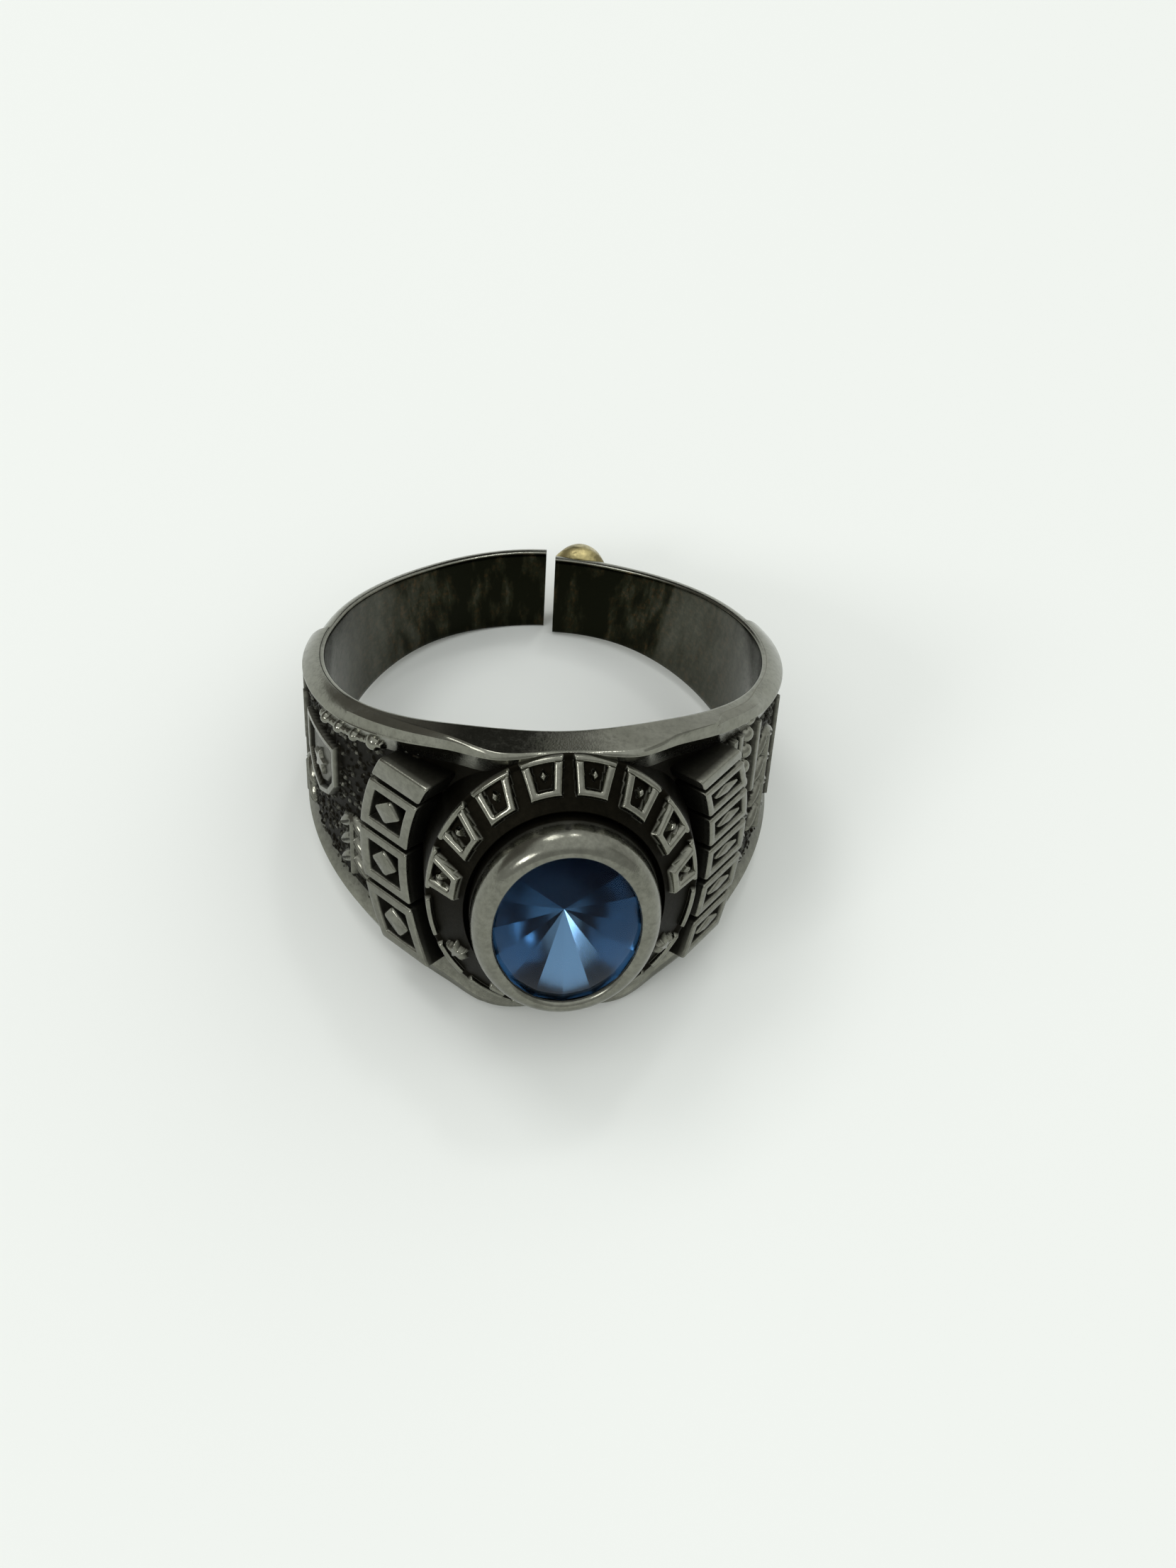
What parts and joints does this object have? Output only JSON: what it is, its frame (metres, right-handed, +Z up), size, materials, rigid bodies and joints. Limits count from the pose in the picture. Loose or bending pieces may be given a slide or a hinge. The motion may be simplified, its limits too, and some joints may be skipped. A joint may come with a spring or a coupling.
{
  "type": "class ring",
  "caption": "Antiqued white-metal class ring with an oval blue stone in a rolled collar, cast relief on bezel and shoulders, and a sawn, sprung band with a solder bead",
  "frame": {"origin": "on the table, under the middle of the ring's box", "axes": "+Z up from the table, -Y towards the head and its stone, X across the finger; the ring lies on its side and its finger hole's axis leans 14.2 degrees from +Z towards +Y"},
  "size_m": [0.02, 0.0244, 0.0134],
  "materials": {
    "cast_metal": "cast white metal, polished on the high parts, dark antiquing and tarnish in the recesses",
    "blue_stone": "faceted transparent blue stone, polished"
  },
  "bodies": {
    "root": {"casting": "cast_metal", "stone": "blue_stone"}
  },
  "joints": []
}
